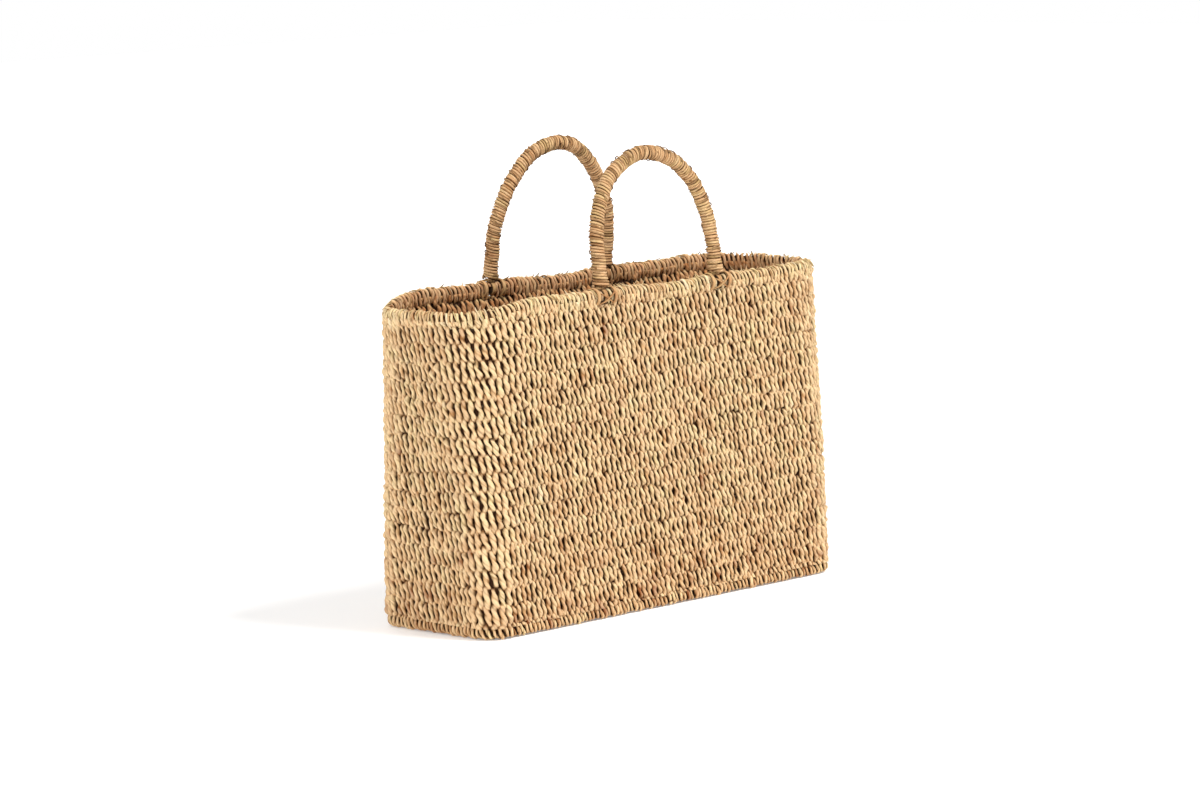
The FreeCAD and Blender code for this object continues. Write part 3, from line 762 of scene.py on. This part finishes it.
def ranged(tree, source, from_low, from_high, to_low, to_high):
    """A value moved from one range to another and kept inside it."""
    node = tree.nodes.new("ShaderNodeMapRange")
    limits = {"From Min": from_low, "From Max": from_high, "To Min": to_low, "To Max": to_high}
    for key, value in limits.items():
        node.inputs[key].default_value = value
    tree.links.new(source, node.inputs["Value"])
    return node.outputs["Result"]


def new_material(name):
    """An empty node material: the material, its tree and its shader."""
    material = bpy.data.materials.new(name)
    material.use_nodes = True
    return material, material.node_tree, material.node_tree.nodes["Principled BSDF"]


def stored(tree, name, output="Fac"):
    """A value that sweep stored on the mesh."""
    return add_node(tree, "ShaderNodeAttribute", attribute_name=name).outputs[output]


def noise(tree, vector, **settings):
    """Noise that reads its place from a vector output."""
    node = add_node(tree, "ShaderNodeTexNoise", **settings)
    tree.links.new(vector, node.inputs["Vector"])
    return node.outputs["Fac"]


def fibre_streaks(tree):
    """Noise drawn out along the strands, so that it follows their twist."""
    stretched = tree.nodes.new("ShaderNodeVectorMath")
    stretched.operation = "MULTIPLY"
    stretched.inputs[1].default_value = FIBRE_STRETCH
    tree.links.new(stored(tree, "grain", "Vector"), stretched.inputs[0])
    return noise(tree, stretched.outputs[0], scale=1.7, detail=5, roughness=0.68)


def patched_tone(tree, tones, patch_share):
    """The ramp of tones, read by each strand's tint with slow patches added."""
    place = tree.nodes.new("ShaderNodeTexCoord")
    patches = noise(tree, place.outputs["Object"], scale=45, detail=3)
    tone = tree.nodes.new("ShaderNodeMath")
    tone.operation = "ADD"
    tree.links.new(stored(tree, "tint"), tone.inputs[0])
    tree.links.new(ranged(tree, patches, *NOISE_SPAN, -patch_share, patch_share), tone.inputs[1])
    ramp = tree.nodes.new("ShaderNodeValToRGB")
    tree.links.new(tone.outputs[0], ramp.inputs["Fac"])
    while len(ramp.color_ramp.elements) < len(tones):
        ramp.color_ramp.elements.new(0.5)
    for number, (element, colour) in enumerate(zip(ramp.color_ramp.elements, tones)):
        element.position = number / (len(tones) - 1)
        element.color = screen_colour(*colour)
    return ramp.outputs["Color"]


def straw(name, tones, dark, patch_share=0.14):
    """Dry seagrass: fibre streaks that follow the twist and patches of tone, with painted shade in the ply
    grooves, dark red-brown painted shade deep in the weave and on faces towards the inside, and a painted
    sunlit highlight on the crests.
    """
    material, tree, shader = new_material(name)
    fibres = fibre_streaks(tree)
    colour = patched_tone(tree, tones, patch_share)
    layers = (
        (dark, fibres, STREAKS),
        (dark, stored(tree, "groove"), GROOVES),
        (SUNLIT, stored(tree, "crest"), CRESTS),
        (INNER_SHADE, stored(tree, "inner"), INSIDE),
        (DEEP_SHADE, stored(tree, "depth"), DEPTHS),
    )
    for layer, source, span in layers:
        colour = mixed(tree, colour, screen_colour(*layer), ranged(tree, source, *span))
    tree.links.new(colour, shader.inputs["Base Color"])
    tree.links.new(ranged(tree, fibres, *NOISE_SPAN, *STRAW_ROUGHNESS), shader.inputs["Roughness"])
    bump = add_node(tree, "ShaderNodeBump", strength=0.6, distance=0.5 * MM)
    tree.links.new(fibres, bump.inputs["Height"])
    tree.links.new(bump.outputs["Normal"], shader.inputs["Normal"])
    shader.inputs["Specular IOR Level"].default_value = DULL_SPECULAR
    return material


def wire_steel():
    """Dull drawn steel wire with faint brown patches."""
    material, tree, shader = new_material("drawn_wire")
    place = tree.nodes.new("ShaderNodeTexCoord")
    factor = ranged(tree, noise(tree, place.outputs["Object"], scale=120), 0.35, 0.65, 0, 1)
    tree.links.new(mixed(tree, screen_colour(58, 40, 26), screen_colour(92, 78, 64), factor),
                   shader.inputs["Base Color"])
    shader.inputs["Metallic"].default_value = 0.3
    shader.inputs["Roughness"].default_value = 0.75
    shader.inputs["Specular IOR Level"].default_value = DULL_SPECULAR
    return material


# Screen tones from the darkest strands to the palest, and the dark of the fibre streaks and of the painted
# shade in the grooves between plies.
WEAVE = straw(
    "seagrass_weave",
    [(156, 92, 44), (208, 160, 106), (228, 189, 138), (220, 192, 136), (246, 219, 178)],
    (104, 52, 16))
RIM = straw(
    "seagrass_rim",
    [(184, 126, 70), (212, 166, 110), (232, 193, 140), (224, 199, 140), (246, 221, 178)],
    (108, 54, 16))
GRIP = straw(
    "seagrass_handle",
    [(168, 110, 62), (198, 146, 94), (218, 172, 122), (206, 168, 110), (236, 199, 152)],
    (88, 44, 14), 0.2)
LASHING = straw(
    "seagrass_lashing",
    [(160, 104, 56), (192, 140, 90), (212, 168, 116), (200, 166, 108), (226, 190, 142)],
    (96, 48, 16), 0.2)
STEEL = wire_steel()


def finish_piece(piece, material, body, slot, *nodes):
    """Give a new piece its material and its body, and hide the CAD nodes it stands for."""
    piece.data.materials.append(material)
    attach(piece, body)
    if nodes:
        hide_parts(*nodes)
    return piece


# ------------------------------------------------------------------ build

FRINGE_PLIES = 230
FRAYED_TIPS = 260


def build_walls():
    """The columns, in six stretches round the basket."""
    stretches = (
        ("front_right", 0, 0.17, "woven_front"), ("right", 0.17, 0.33, "woven_right_end"),
        ("back_right", 0.33, 0.5, "woven_back"), ("back_left", 0.5, 0.67, None),
        ("left", 0.67, 0.83, "woven_left_end"), ("front_left", 0.83, 1, None),
    )
    for name, start, end, node in stretches:
        piece = woven_columns(f"columns_{name}", round(COLUMNS * start), round(COLUMNS * end))
        finish_piece(piece, WEAVE, "basket", "seagrass_weave", *([node] if node else []))


def build_basket():
    """Everything on the basket's body but the lashings, in the order of its random draws."""
    build_walls()
    for number, piece in enumerate(rim_pieces()):
        finish_piece(piece, RIM, "basket", "seagrass_rim", *(["rim_binding"] if number == 0 else []))
    edge = wrapped_edge(BASE_Z, 0, 1, *BASE_REACHES, BASE_PALER)
    finish_piece(sweep("base_edge_wraps", edge), WEAVE, "basket", "seagrass_weave")
    finish_piece(base_columns("base_columns"), WEAVE, "basket", "seagrass_weave", "woven_base")
    # a sheet of painted shade inside the wall, behind the gaps between the columns
    finish_piece(shade_sheet("wall_filling"), WEAVE, "basket", "seagrass_weave")
    finish_piece(rim_fringe("rim_fringe", FRINGE_PLIES), RIM, "basket", "seagrass_rim")
    finish_piece(loose_ends("loose_ends", FRAYED_TIPS), WEAVE, "basket", "seagrass_weave")
    way = np.linspace(0, 1, 240, endpoint=False)
    rim_path = handmade(outline(way, np.full_like(way, RIM_Z))[0])
    wire = closed_bar("rim_wire_shaped", rim_path, RIM_WIRE_RADIUS)
    finish_piece(wire, STEEL, "basket", "frame_wire", "rim_wire")


def build_handles():
    """Both handles' winding and eye bindings, and the lashings that stay on the basket."""
    for side in ("front", "back"):
        close, steep = handle_wrapping(side)
        finish_piece(close, GRIP, f"{side}_handle", "seagrass_handle", f"{side}_handle_wrap")
        finish_piece(steep, GRIP, f"{side}_handle", "seagrass_handle")
        finish_piece(eye_binding(side), LASHING, f"{side}_handle", "seagrass_handle")
        for end, foot in (("left", -HALF_SPAN), ("right", HALF_SPAN)):
            finish_piece(foot_lashing(side, end, foot), LASHING, "basket", "seagrass_lashing",
                         f"foot_lashing_{side}_{end}")


def dress_cad_nodes():
    """Materials for the CAD nodes that stay: the hidden wires and the handles' padding."""
    for name, node in frame["nodes"].items():
        if not node.hide_render:
            node.data.materials.clear()
            node.data.materials.append(LASHING if "padding" in name else STEEL)


build_basket()
build_handles()
dress_cad_nodes()

# ------------------------------------------------------------------ studio

CAMERA_YAW = math.radians(44.76)
CAMERA_PITCH = math.radians(7.33)
CAMERA_ROLL = math.radians(-1.83)
CAMERA_DISTANCE = 3.9014
CAMERA_RIGHT = -0.00634
CAMERA_UP = 0.17784
CAMERA_LENS = 130.19
SENSOR_WIDTH = 36

FLOOR_HALF = 9                # metres
FLOOR_WHITE = 0.96
FLOOR_ROUGHNESS = 0.9
FLOOR_GLOW = 0.2              # keeps the floor near white
SKY_LIGHT = 0.33              # the white world as light; the camera sees it at full strength
SUNS = (                      # name, where from, strength and softness in degrees
    ("key", (0.4, -0.9, 1.2), 2.7, 22),
    ("side", (-1.0, -0.4, 0.6), 1.75, 25),
    ("back", (0.3, 1.0, 1.1), 0.7, 40),
)


def sun(name, aim_from, strength, softness):
    """An even light from far away, from a direction given from the basket."""
    data = bpy.data.lights.new(name, "SUN")
    data.energy = strength
    data.angle = math.radians(softness)
    light = bpy.data.objects.new(name, data)
    light.rotation_euler = (-Vector(aim_from)).to_track_quat("-Z", "Y").to_euler()
    bpy.context.scene.collection.objects.link(light)


def add_floor():
    """A plain pale floor."""
    mesh = bpy.data.meshes.new("floor")
    corners = [(x * FLOOR_HALF, y * FLOOR_HALF, 0) for x, y in ((-1, -1), (1, -1), (1, 1), (-1, 1))]
    mesh.from_pydata(corners, [], [(0, 1, 2, 3)])
    floor = bpy.data.objects.new("floor", mesh)
    bpy.context.scene.collection.objects.link(floor)
    material, _, shader = new_material("pale_floor")
    shader.inputs["Base Color"].default_value = (FLOOR_WHITE, FLOOR_WHITE, FLOOR_WHITE, 1)
    shader.inputs["Roughness"].default_value = FLOOR_ROUGHNESS
    shader.inputs["Emission Color"].default_value = (1, 1, 1, 1)
    shader.inputs["Emission Strength"].default_value = FLOOR_GLOW
    mesh.materials.append(material)


def studio():
    """The floor, a white world and soft lights."""
    add_floor()
    world = bpy.data.worlds.new("studio")
    world.use_nodes = True
    tree = world.node_tree
    path = tree.nodes.new("ShaderNodeLightPath")
    tree.links.new(ranged(tree, path.outputs["Is Camera Ray"], 0, 1, SKY_LIGHT, 1.0),
                   tree.nodes["Background"].inputs["Strength"])
    tree.nodes["Background"].inputs["Color"].default_value = (1, 1, 1, 1)
    bpy.context.scene.world = world
    for name, aim_from, strength, softness in SUNS:
        sun(name, aim_from, strength, softness)
    bpy.context.scene.view_settings.view_transform = "Standard"


def camera():
    """A camera at the photograph's viewing angle."""
    right = Vector((math.cos(CAMERA_YAW), -math.sin(CAMERA_YAW), 0))
    back = Vector((-math.sin(CAMERA_YAW) * math.cos(CAMERA_PITCH),
                   -math.cos(CAMERA_YAW) * math.cos(CAMERA_PITCH), math.sin(CAMERA_PITCH)))
    up = back.cross(right)
    data = bpy.data.cameras.new("photo_view")
    data.lens = CAMERA_LENS
    data.sensor_width = SENSOR_WIDTH
    view = bpy.data.objects.new("photo_view", data)
    tilt = Matrix.Rotation(CAMERA_ROLL, 3, back)
    axes = Matrix((tilt @ right, tilt @ up, back)).transposed()
    place = right * CAMERA_RIGHT + up * CAMERA_UP + back * CAMERA_DISTANCE
    view.matrix_world = Matrix.Translation(place) @ axes.to_4x4()
    bpy.context.scene.collection.objects.link(view)
    bpy.context.scene.camera = view


studio()
camera()
